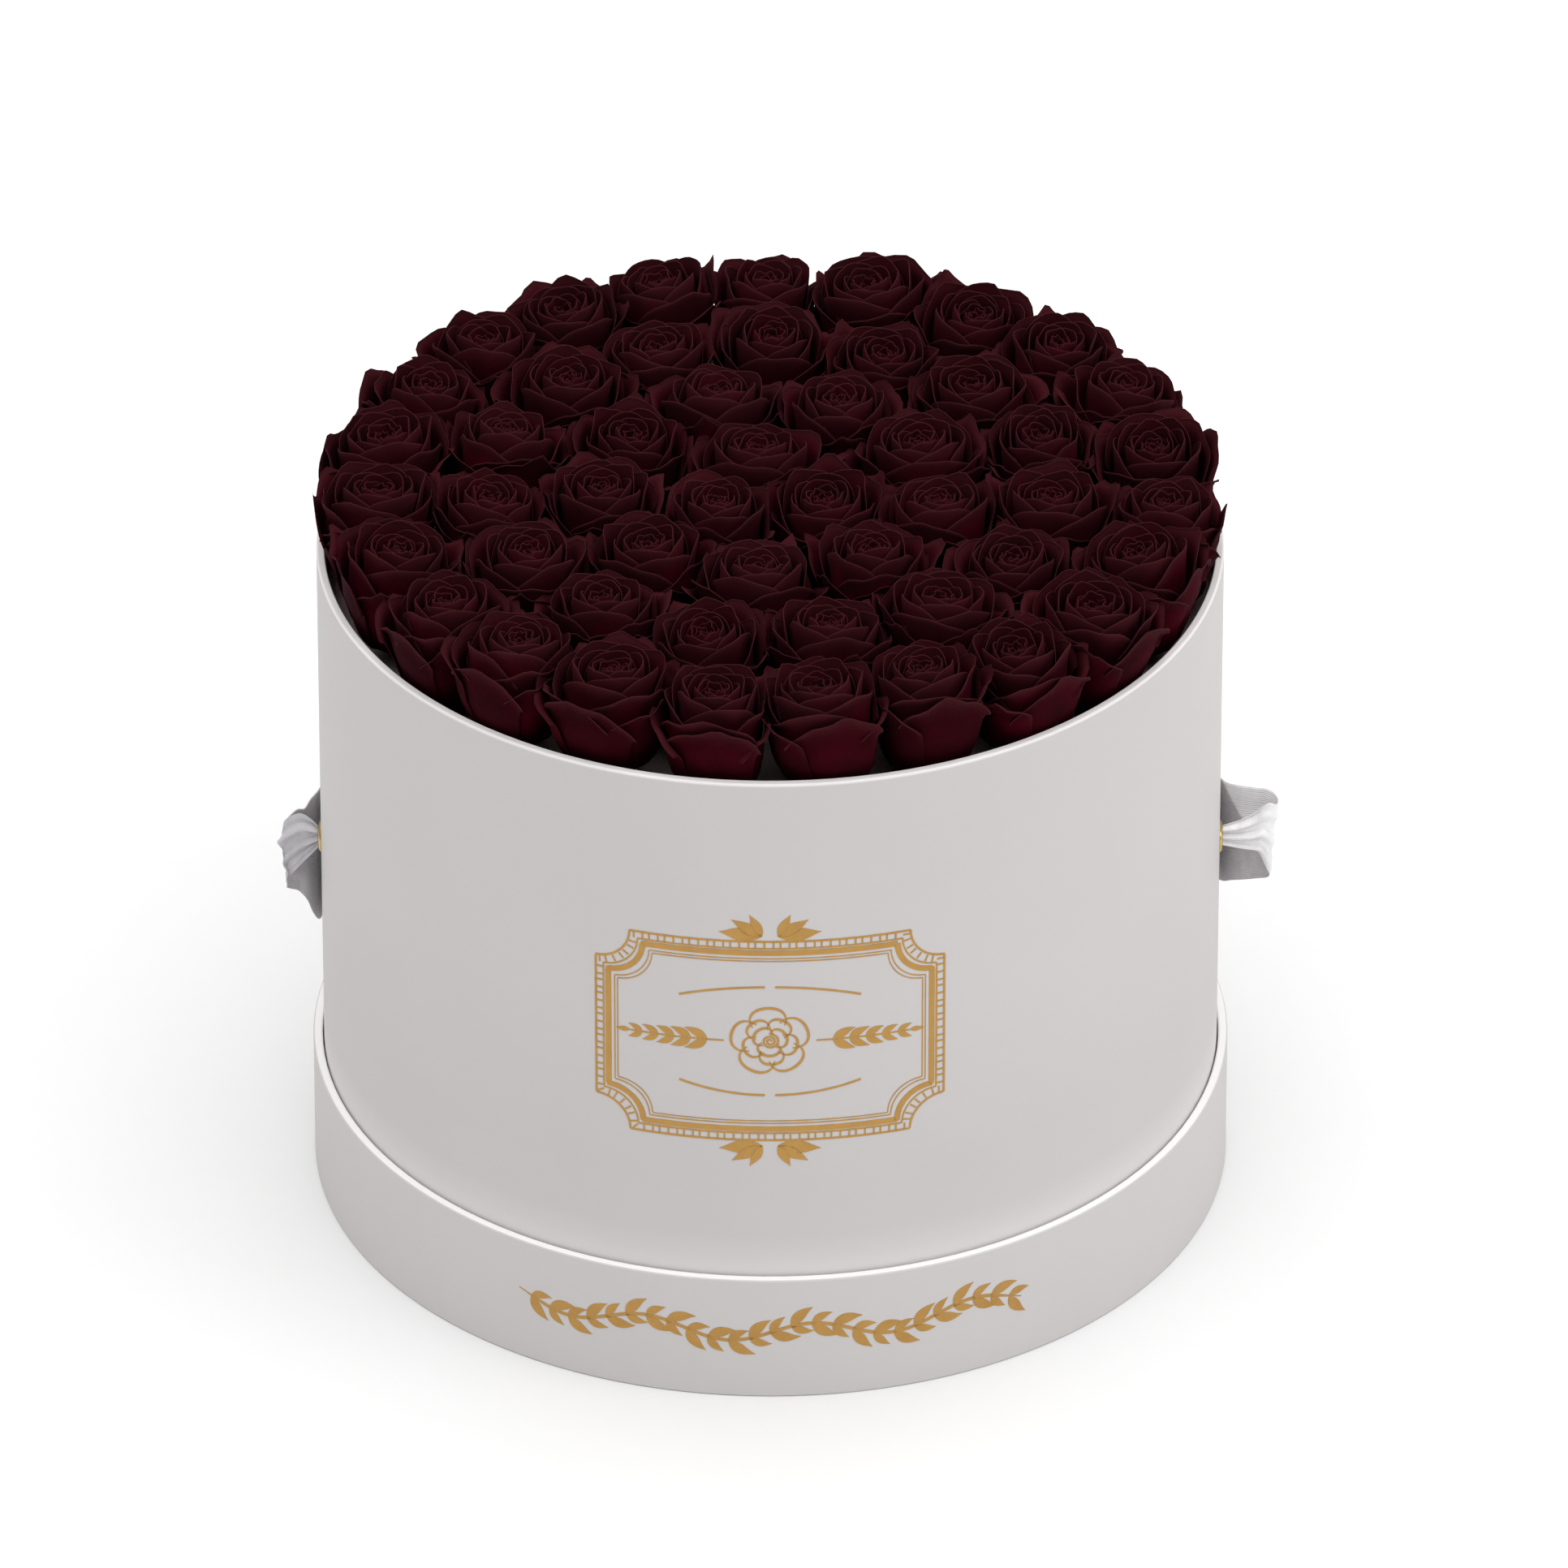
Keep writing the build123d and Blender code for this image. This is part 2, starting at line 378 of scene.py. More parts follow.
def ribbon_finish():
    """Corded satin: fine ribs along the ribbon, slubs and creases across it, and a dull back.

    The ribbon's own map gives the way along it in u and across it in v, both in metres, and
    the satin attribute picks between the bright colour and the dull one: partly the satin's two faces,
    partly painted light and shade, with a painted lit patch above a crease and a handle in painted
    shade.
    """
    material, nodes, links, shader = new_material("ribbon")
    place = read_map(nodes, "weave")
    ribs = nodes.new("ShaderNodeTexWave")
    ribs.wave_type, ribs.bands_direction = "BANDS", "Y"
    ribs.inputs["Scale"].default_value = 330
    ribs.inputs["Distortion"].default_value = 2.0
    ribs.inputs["Detail"].default_value = 3
    links.new(place, ribs.inputs["Vector"])
    height = ribs.outputs["Fac"]
    for scale, stretch in ((700, (0.25, 1.6, 1)), (190, (1.8, 0.45, 1))):
        noise = add_noise(nodes, links, place, scale, 5, stretch)
        height = average(nodes, links, height, noise, 0.5)
    contrast = map_range(nodes, links, height, 0.30, 0.70)
    dull = mix_colours(nodes, links, contrast, (0.50, 0.485, 0.51), (0.66, 0.64, 0.67))
    bright = mix_colours(nodes, links, contrast, (0.84, 0.83, 0.85), (1.0, 0.99, 1.0))
    # bright against dull: partly the satin's two faces, partly painted light and shade
    colour = mix_colours(nodes, links, read_value(nodes, "satin"), dull, bright)
    links.new(colour, shader.inputs["Base Color"])
    shader.inputs["Roughness"].default_value = 0.40
    shader.inputs["Sheen Weight"].default_value = 0.15
    shader.inputs["Sheen Roughness"].default_value = 0.4
    add_bump(nodes, links, height, shader, 0.8, 0.0006)
    return material


def petal_finish():
    """Dark red velvet with a painted grey-brown sheen towards its lips, fine veins, and a painted
    highlight as a thin pale line at the rim, which is fainter in the bud.

    The petal's map gives the share across in the fraction of u, and the share along in v.
    """
    material, nodes, links, shader = new_material("rose_petal")
    group = add_grain(nodes, 70, 1800)
    place = read_map(nodes, "petal")
    along = split(nodes, links, place)[1]
    # the edge mask paints sheen on the lips and a highlight along the rim line
    edge = read_value(nodes, "petal_sheen_edge")
    rim = map_range(nodes, links, along, 0.982, 0.994, to_high=0.62)
    faint = calculate(nodes, links, "MULTIPLY", rim, edge)
    mottle = map_range(nodes, links, group.outputs["Mask"], 0.38, 0.64)
    body = mix_colours(nodes, links, mottle, PETAL_DARK, PETAL_LIGHT)
    deep = mix_colours(nodes, links, read_value(nodes, "petal_shade"), body, PETAL_DEEP)
    lip = mix_colours(nodes, links, edge, deep, PETAL_LIP_SHEEN)
    colour = mix_colours(nodes, links, faint, lip, PETAL_RIM_HIGHLIGHT)
    links.new(colour, shader.inputs["Base Color"])
    shader.inputs["Roughness"].default_value = 0.85
    shader.inputs["Specular IOR Level"].default_value = 0.02
    shader.inputs["Sheen Weight"].default_value = 0.008
    shader.inputs["Sheen Roughness"].default_value = 0.4
    shader.inputs["Sheen Tint"].default_value = (0.8, 0.35, 0.38, 1)
    veins = add_noise(nodes, links, place, 26, 4, stretch=(1.0, 0.16, 1.0))
    relief = average(nodes, links, veins, group.outputs["Height"], 0.35)
    add_bump(nodes, links, relief, shader, 0.6, 0.0005)
    return material


# ---------------------------------------------------------------- meshes

def grid_faces(rows, columns, first=0):
    """The quads of a grid of points, row by row, as an array of four corners each."""
    corner = first + np.arange(rows - 1)[:, None] * columns + np.arange(columns - 1)[None, :]
    return np.stack([corner, corner + 1, corner + columns + 1, corner + columns], -1).reshape(-1, 4)


def tube_faces(rings, corners):
    """The quads of a tube of rings, whose corners run round it, and of its two closed ends."""
    ring = corners * np.arange(rings - 1)[:, None]
    corner = np.arange(corners)[None, :]
    following = (corner + 1) % corners
    above = ring + corners
    walls = np.stack([ring + corner, ring + following, above + following, above + corner], -1)
    near = np.arange(corners // 2 - 1)
    start = np.stack([near, near + 1, corners - 2 - near, corners - 1 - near], -1)
    end = start + corners * (rings - 1)
    return np.concatenate([walls.reshape(-1, 4), start[:, ::-1], end])


def join(shells):
    """Many shells, each given as its points and faces, as one."""
    counts = [len(points) for points, _ in shells]
    firsts = np.cumsum([0] + counts[:-1])
    return (
        np.concatenate([points for points, _ in shells]),
        np.concatenate([faces + first for (_, faces), first in zip(shells, firsts)]),
    )


def sheet_shell(points, thickness):
    """A closed thin shell round a grid of points: the grid moved half its thickness each way
    along its normals, with a strip that joins the two round the edge. Gives points and quads."""
    rows, columns = points.shape[:2]
    across = np.gradient(points, axis=1)
    along = np.gradient(points, axis=0)
    normal = np.cross(across, along)
    normal /= np.maximum(np.linalg.norm(normal, axis=-1, keepdims=True), 1e-9)
    half = normal * (thickness[..., None] / 2)
    front, back = points + half, points - half
    count = rows * columns
    index = np.arange(count).reshape(rows, columns)
    ring = np.concatenate([index[0, :], index[1:, -1], index[-1, -2::-1], index[-2:0:-1, 0]])
    following = np.roll(ring, -1)
    front_faces = grid_faces(rows, columns)
    back_faces = grid_faces(rows, columns, count)[:, ::-1]
    side_faces = np.stack([following, ring, ring + count, following + count], -1)
    return (
        np.concatenate([front.reshape(-1, 3), back.reshape(-1, 3)]),
        np.concatenate([front_faces, back_faces, side_faces]),
    )


def add_piece(
        name, points, faces, material, body, values=None, uv=None, uv_name="map", smooth=True):
    """A mesh piece from arrays, with its finish, slot and body, or no body yet.

    Values are numbers per point, and uv is a place on the piece's own map per point.
    """
    mesh = bpy.data.meshes.new(name)
    mesh.vertices.add(len(points))
    mesh.vertices.foreach_set("co", np.asarray(points, np.float32).ravel())
    sides = faces.shape[1]
    mesh.loops.add(faces.size)
    mesh.loops.foreach_set("vertex_index", faces.astype(np.int32).ravel())
    mesh.polygons.add(len(faces))
    mesh.polygons.foreach_set("loop_start", np.arange(len(faces), dtype=np.int32) * sides)
    mesh.update(calc_edges=True)
    mesh.validate()
    mesh.shade_smooth() if smooth else mesh.shade_flat()
    for key, numbers in (values or {}).items():
        layer = mesh.attributes.new(key, "FLOAT", "POINT")
        layer.data.foreach_set("value", np.asarray(numbers, np.float32))
    if uv is not None:
        layer = mesh.uv_layers.new(name=uv_name)
        layer.data.foreach_set("uv", np.asarray(uv, np.float32)[faces.ravel()].ravel())
    mesh.materials.append(material)
    piece = bpy.data.objects.new(name, mesh)
    bpy.context.collection.objects.link(piece)
    if body:
        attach(piece, body)
    return piece


def smooth_step(low, high, value):
    """0 below low, 1 above high, and an S-curve between them."""
    share = np.clip((value - low) / (high - low), 0, 1)
    return share * share * (3 - 2 * share)


# ---------------------------------------------------------------- roses

ROSES = 50
HEADS_SEED, BLOOM_SEED = 41, 700
PETALS = 27  # in each bloom, without its guard petals
PETAL_ROWS, PETAL_COLUMNS = 14, 17
PETAL_THICKNESS = 0.45 * MM
GOLDEN_ANGLE = 2.39996
CALYX = 2.5 * MM  # the calyx stands this far above the foam
HEAD_HEIGHT = 40 * MM  # of a bloom's widest part above its calyx
HEAD_LEAN = 5 * MM  # the furthest that a head leans from its stem
NEAR = 60 * MM  # blooms whose heads are nearer than this press on each other
LIP_REACH = 2.0 * MM  # how far a lip goes past the plane between two blooms
OVERHANG = 5.5 * MM  # how far a lip goes past the inside of the wall, above the rim

# Places of a petal's points: along it, closer near the tip, and across it, closer near the sides
evenly = np.linspace(0, 1, PETAL_ROWS)
ALONG = (evenly * (2 - evenly))[:, None]
bunched = np.sin(np.linspace(-np.pi / 2, np.pi / 2, PETAL_COLUMNS) * 0.82)
ACROSS = bunched[None, :] / np.sin(np.pi * 0.41)


def between(age, *stations):
    """A value that runs smoothly through evenly spaced stations as age goes from 0 to 1."""
    return np.interp(age, np.linspace(0, 1, len(stations)), stations)


def petal(age, turn, chance, open_by, guard=False):
    """One petal, from the bud's middle (age 0) to the outermost (age 1), or a guard petal,
    which opens further and ends lower.

    Its meridian is a Bezier curve (distance from the axis, height) from the calyx to the tip,
    and the tips of all petals end at nearly one height. Its angle runs from -spread to +spread
    about its turn, and one side lies further out than the other, as in a spiral. Towards its
    sides the rim is lower. An older petal opens outwards and down, most at its sides,
    which leaves a point in the middle, and its last part curls over. Slow waves ruffle the
    lip, quick ones the bud.
    """
    tip_out = between(age, 1.0, 2.8, 4.8, 7.0, 9.4, 11.6, 14.0, 17.2, 21.2) * open_by
    tip_up = between(age, 45.5, 47.5, 48.6, 49.4, 49.8, 50.0, 49.6, 48.4, 46.0) + chance.normal(0, 0.5)
    belly = between(age, 4.5, 6.5, 8.5, 10.8, 13.2, 15.2, 17.4, 19.9, 22.6) * open_by
    belly_up = between(age, 30, 32, 33, 32, 31)
    base_out = between(age, 1.0, 3.0, 7.0, 14.0, 25.0)
    spread = between(age, 1.7, 1.5, 1.35, 1.2, 1.1, 1.0) * chance.uniform(0.92, 1.08)
    roll = between(age, 0.0, 0.1, 0.2, 0.5, 1.2, 3.4) * chance.uniform(0.7, 1.3)
    point = between(age, 0.0, 0.2, 0.5, 1.0, 1.7, 2.4) * chance.uniform(0.2, 1.9)
    lean = chance.normal(0, 0.8)
    middle = chance.uniform(-0.25, 0.25)
    if guard:
        tip_out, tip_up, spread = tip_out + 4.5, tip_up - chance.uniform(1.0, 5.0), 0.72 * spread
        point, lean = 1.5 * point + 0.8, 2 * lean

    reach = ALONG * (1 - between(age, 0.05, 0.12, 0.18, 0.17) * np.abs(ACROSS) ** 2.6)
    rest = 1 - reach
    weights = (rest ** 3, 3 * rest ** 2 * reach, 3 * rest * reach ** 2, reach ** 3)
    outs = (1.5, base_out, belly, tip_out)
    ups = (1.0, 4.5, belly_up, tip_up)
    distance = sum(weight * out for weight, out in zip(weights, outs))
    height = sum(weight * up for weight, up in zip(weights, ups))

    late = smooth_step(0.70, 1.0, ALONG)
    side = smooth_step(0.15, 1.0, np.abs(ACROSS - middle))
    last = smooth_step(0.86, 1.0, ALONG)
    curl = between(age, 0.1, 0.2, 0.4, 0.6, 1.1, 2.8) * chance.uniform(0.8, 1.2)
    distance = distance + roll * late * (0.60 - 0.05 * side) + curl * last
    height = height - roll * late ** 2 * (0.05 + 0.55 * side) - 0.75 * curl * last ** 2
    tip = np.exp(-(((ACROSS - middle) / 0.20) ** 2))
    height = height + 0.6 * point * late ** 2 * tip
    distance = distance + 0.7 * point * late ** 2 * tip
    ruffle = between(age, 0.75, 0.55, 0.35, 0.3, 0.5, 1.3)
    quick = between(age, 11, 8, 5.5, 6.0, 7.5)
    first, second = chance.uniform(0, 6.3, 2)
    if guard:
        ruffle = ruffle * (1 - 0.75 * side)
    distance = distance + ruffle * np.sin(ACROSS * quick + first) * late
    height = height + 0.55 * ruffle * np.cos(ACROSS * quick * 1.3 + second) * late
    height = height + lean * ACROSS * late
    spiral = 2.4 if guard else between(age, 0.9, 1.1, 1.1, 1.0, 0.8)
    distance = distance + ACROSS * spiral * reach

    narrow = 0.55 + 0.45 * smooth_step(0.0, 0.35, reach)
    angle = turn + ACROSS * spread * narrow
    points = np.stack([distance * np.cos(angle), distance * np.sin(angle), height], -1) * MM
    # a mask towards the tip and the sides: it thins the petal and carries its painted sheen and rim
    # highlight
    sides = smooth_step(0.80, 1.0, np.abs(ACROSS)) * late
    edge = np.maximum(smooth_step(0.80, 1.0, ALONG), sides)
    shade = chance.uniform(0, 1) * (1 - 0.5 * late * side)
    return points, edge * between(age, 0.4, 0.6, 0.8, 1.0), shade


def squeeze(reach, limit, furthest):
    """Distances drawn back so that the furthest comes to the limit and none past half way to it
    changes order: a parabola from half the limit on."""
    free = limit / 2
    spare = np.maximum(furthest - limit, 0)
    return reach - spare * (np.maximum(reach - free, 0) / np.maximum(furthest - free, 1e-6)) ** 2


def press_between(points, head, neighbours, shares):
    """Draw a bloom in where it meets its neighbours and the box.

    Each neighbour is met at a plane across the line between the two heads, at this bloom's
    share of the way. The points are drawn back so that the blooms share a flat contact,
    though their lips may reach a little past it. Below the rim a bloom stays inside the wall,
    and above it the lips may overhang.
    """
    pressed = points.copy()
    lip = LIP_REACH * smooth_step(36 * MM, 46 * MM, points[:, 2] - FOAM_TOP)
    for other, share in zip(neighbours, shares):
        gap = other - head
        apart = np.linalg.norm(gap)
        towards = gap / apart
        reach = (pressed[:, :2] - head) @ towards
        back = reach - squeeze(reach, apart * share - 0.2 * MM + lip, reach.max())
        pressed[:, :2] -= back[:, None] * towards
    from_axis = np.linalg.norm(head)
    reach = (pressed[:, :2] - head) @ (head / from_axis)
    above_rim = smooth_step(RIM - 1 * MM, RIM + 10 * MM, pressed[:, 2])
    room = INSIDE_RADIUS - 1.0 * MM + OVERHANG * above_rim
    distance = np.linalg.norm(pressed[:, :2], axis=1)
    sideways = np.maximum(distance - from_axis - reach, 0)
    limit = np.maximum(room - from_axis - sideways, 4 * MM)
    back = np.where(distance > 0.8 * room, reach - squeeze(reach, limit, max(reach.max(), 1e-6)), 0)
    pressed[:, :2] -= back[:, None] * head / from_axis
    distance = np.linalg.norm(pressed[:, :2], axis=1)
    pressed[:, :2] *= np.minimum(1, room / np.maximum(distance, 1e-6))[:, None]
    return pressed


def lean_heads(places, chance):
    """Where the blooms' heads end up when each leans into the room around it.

    Every spot of the opening belongs to its nearest head, and each head moves towards the
    middle of its spots, from a start a little off its stem.
    """
    spots = np.stack(np.meshgrid(np.linspace(-1, 1, 90), np.linspace(-1, 1, 90)), -1).reshape(-1, 2)
    spots = spots[np.linalg.norm(spots, axis=1) < 1] * (INSIDE_RADIUS + 2 * MM)
    heads = places + chance.normal(0, 2.5 * MM, places.shape)
    for _ in range(6):
        nearest = np.argmin(np.linalg.norm(spots[:, None] - heads[None], axis=-1), axis=1)
        middles = np.stack([np.bincount(nearest, spots[:, k], len(heads)) for k in range(2)], 1)
        middles /= np.bincount(nearest, minlength=len(heads))[:, None]
        aside = heads + 0.4 * (middles - heads) - places
        far = np.linalg.norm(aside, axis=1, keepdims=True)
        heads = places + aside * np.minimum(1, HEAD_LEAN / np.maximum(far, 1e-9))
    return heads


def tilted(points, lean, towards):
    """Points turned about a level axis through the calyx, so that the bloom leans one way."""
    axis = np.array([-np.sin(towards), np.cos(towards), 0])
    cos, sin = np.cos(lean), np.sin(lean)
    return (
        points * cos
        + np.cross(axis, points) * sin
        + np.outer(points @ axis, axis) * (1 - cos)
    )


def stem_shape():
    """A round stem and a cup-shaped calyx: circles of a changing radius up the axis, with
    a small flat at each end."""
    heights = np.array([-40, -39.5, -2, 0, 1.5, 4, 8, 9]) * MM
    radii = np.array([0.05, 2.4, 2.4, 3.2, 5.5, 8.0, 10.0, 0.05]) * MM
    corners = 14
    turn = np.linspace(0, 2 * np.pi, corners, endpoint=False)[None, :]
    rings = np.stack([
        radii[:, None] * np.cos(turn),
        radii[:, None] * np.sin(turn),
        heights[:, None] + 0 * turn,
    ], -1)
    return rings.reshape(-1, 3), tube_faces(len(heights), corners)


def guard_turns(head, neighbours):
    """Directions of the guard petals: into each gap between two neighbours, and two or more
    into the open side of a bloom at the wall."""
    gaps = neighbours - head
    angles = np.sort(np.arctan2(gaps[:, 1], gaps[:, 0]))
    turns = []
    for angle, following in zip(angles, np.append(angles[1:], angles[0] + 2 * np.pi)):
        between_them = following - angle
        count = max(1, round(between_them / 1.2))
        turns += [angle + between_them * (step + 0.5) / count for step in range(count)]
    return turns


def grow_bloom(chance, size, guards):
    """Petals at the golden angle round a tight bud, then guard petals at their own turns, on a
    calyx and stem. Gives its points and faces, and per point the lip mask for painted sheen, the shade
    and the map.

    Each bloom has its own fullness, is a little oval in its own direction, and nods its own way.
    Its map gives each petal its number in the whole part of u.
    """
    start = chance.uniform(0, 2 * np.pi)
    hand = chance.choice([-1, 1])
    fullness = chance.uniform(0.85, 1.3)
    oval, oval_turn = chance.uniform(0.0, 0.14), chance.uniform(0, np.pi)
    nod, nod_turn = chance.uniform(0.02, 0.14), chance.uniform(0, 2 * np.pi)
    turns = [start + hand * index * GOLDEN_ANGLE for index in range(PETALS)] + guards
    column, row = np.meshgrid(ACROSS[0] / 2 + 0.5, ALONG[:, 0])
    shells, edges, shades, maps = [], [], [], []
    for index, turn in enumerate(turns):
        age = min(1, index / (PETALS - 1)) ** fullness
        grid, edge, shade = petal(age, turn, chance, size, guard=index >= PETALS)
        shells.append(sheet_shell(grid, PETAL_THICKNESS * (1 - 0.45 * edge)))
        edges.append(np.tile(edge.ravel(), 2))
        shades.append(np.tile(shade.ravel(), 2))
        maps.append(np.tile(np.stack([column + index, row], -1).reshape(-1, 2), (2, 1)))
    petals, petal_faces = join(shells)
    long_way = np.array([np.cos(oval_turn), np.sin(oval_turn), 0])
    petals = petals + oval * (np.outer(petals @ long_way, long_way) - petals * (0.5, 0.5, 0))
    centre = np.array([0, 0, 0.8 * HEAD_HEIGHT])
    petals = tilted(petals - centre, nod, nod_turn) + centre
    stem, stem_faces = stem_shape()
    points, faces = join([(petals, petal_faces), (stem, stem_faces)])
    edges.append(np.zeros(len(stem)))
    shades.append(np.full(len(stem), 0.5))
    maps.append(np.zeros((len(stem), 2)))
    return points, faces, np.concatenate(edges), np.concatenate(shades), np.concatenate(maps)


def add_rose(number, places, heads, sizes, petal_material):
    """A bloom that leans from its stem to its head, and is pressed between its neighbours."""
    place, head, size = places[number - 1], heads[number - 1], sizes[number - 1]
    chance = np.random.default_rng(BLOOM_SEED + number)
    apart = np.linalg.norm(heads - head, axis=1)
    near = (apart > 0) & (apart < NEAR)
    guards = guard_turns(head, heads[near])
    points, faces, edges, shades, maps = grow_bloom(chance, size, guards)
    aside = head - place
    lean, towards = np.linalg.norm(aside) / HEAD_HEIGHT, np.arctan2(aside[1], aside[0])
    base = np.array([place[0], place[1], FOAM_TOP + CALYX + chance.uniform(-1.5, 3.0) * MM])
    points = tilted(points, lean, towards) + base
    pressed = press_between(points, head, heads[near], size / (size + sizes[near]))
    piece = add_piece(
        f"bloom_{number:02d}", pressed, faces, petal_material, "box",
        values={"petal_sheen_edge": edges, "petal_shade": shades}, uv=maps, uv_name="petal",
    )
    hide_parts(f"rose_{number:02d}")


def add_roses():
    """A bloom on the place of each CAD rose, with its own lean and size."""
    material = petal_finish()
    boxes = np.array([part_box(f"rose_{number:02d}") for number in range(1, ROSES + 1)])
    places = (boxes[:, 0, :2] + boxes[:, 1, :2]) / 2
    chance = np.random.default_rng(HEADS_SEED)
    heads = lean_heads(places, chance)
    sizes = chance.uniform(0.92, 1.16, ROSES)
    for number in range(1, ROSES + 1):
        add_rose(number, places, heads, sizes, material)


# ---------------------------------------------------------------- ribbon handles

RIBBON_WIDTH = 48 * MM
RIBBON_THICKNESS = 0.35 * MM
RIBBON_ROWS, RIBBON_COLUMNS = 150, 49

# Stations along each handle (mm): out from the side of the box, back, upper edge, lower edge, then
# the place of a crease across the ribbon, and how far the ribbon stands out above it and in below
RIGHT_HANDLE = [
    (0.9, 0.0, 4.4, -4.4, 0.2, 0, 0), (4.0, 0.1, 5.2, -5.6, 0.2, -0.4, 0.5),
    (7.1, 0.3, 6.0, -6.8, 0.2, -0.8, 1.0), (11.6, 0.6, 7.9, -8.2, 0.1, -1.0, 1.4),
    (14.4, 1.0, 9.6, -9.0, 0.0, -0.8, 1.6), (16.8, 1.6, 12.2, -10.5, -0.2, 0, 1.6),
    (19.2, 3.0, 13.8, -17.0, -0.5, 0.8, 1.0), (20.2, 5.4, 11.5, -22.0, -0.9, 1.6, 0),
    (18.8, 8.2, 11.4, -25.0, -0.6, 3.2, 0), (16.2, 11.0, 12.0, -27.0, -0.2, 4.5, 0),
    (12.2, 14.2, 11.0, -29.4, 0.15, 5.5, 0), (6.4, 19.0, 10.6, -32.9, 0.55, 5.0, 0),
    (2.0, 25.5, 10.0, -37.5, 0.95, 3.0, 0), (-1.2, 37.0, 9.0, -41.0, 1, 0, 0),
    (-5.9, 54.0, 8.5, -29.0, 1, 0, 0), (-9.6, 65.0, 6.0, -11.0, 1, 0, 0),
    (-12.4, 73.0, 4.2, -5.0, 1, 0, 0), (-15.6, 75.6, 3.6, -3.6, 1, 0, 0),
]
LEFT_HANDLE = [
    (0.9, 0.0, 4.4, -4.4, 0.3, 0, 0), (4.0, 0.6, 6.8, -9.0, 0.3, -1.0, 1.0),
    (8.0, 1.2, 8.5, -14.5, 0.35, -2.5, 1.6), (12.0, 2.0, 7.0, -20.0, 0.45, -4.0, 2.2),
    (15.4, 3.0, 4.0, -24.5, 0.5, -5.0, 2.6), (17.0, 4.6, 1.5, -26.5, 0.5, -5.0, 2.6),
    (15.4, 6.8, 2.5, -27.5, 0.5, -3.5, 2.2), (12.6, 8.4, 4.5, -29.5, 0.5, -1.5, 1.2),
    (9.4, 10.0, 6.0, -32.5, 0.5, 0, 0), (6.4, 12.0, 5.0, -38.0, 0.5, 0.8, 0),
    (4.2, 14.8, 7.5, -46.0, 0.5, 1.0, 0), (1.6, 20.0, 9.0, -52.0, 0.5, 0, 0),
    (-1.0, 30.0, 9.0, -50.0, 0.5, 0, 0), (-4.0, 45.0, 8.0, -38.0, 0.5, 0, 0),
    (-8.4, 60.5, 6.5, -20.0, 0.5, 0, 0), (-12.4, 73.0, 4.2, -5.0, 0.5, 0, 0),
    (-15.6, 75.6, 3.6, -3.6, 0.5, 0, 0),
]


def smooth_path(stations, count):
    """Points on a Catmull-Rom spline through the stations, evenly spaced along it."""
    stations = np.array(stations, float)
    ends = np.vstack([2 * stations[0] - stations[1], stations, 2 * stations[-1] - stations[-2]])
    spot = np.linspace(0, len(stations) - 1.0001, count * 8)
    first = spot.astype(int)
    share = (spot - first)[:, None]
    a, b, c, d = (ends[first + step] for step in range(4))
    dense = 0.5 * (
        2 * b + (c - a) * share + (2 * a - 5 * b + 4 * c - d) * share ** 2
        + (3 * b - a - 3 * c + d) * share ** 3
    )
    length = np.concatenate([[0], np.cumsum(np.linalg.norm(np.diff(dense[:, :2], axis=0), axis=1))])
    even = np.linspace(0, length[-1], count)
    return np.stack([np.interp(even, length, dense[:, k]) for k in range(dense.shape[1])], 1), even


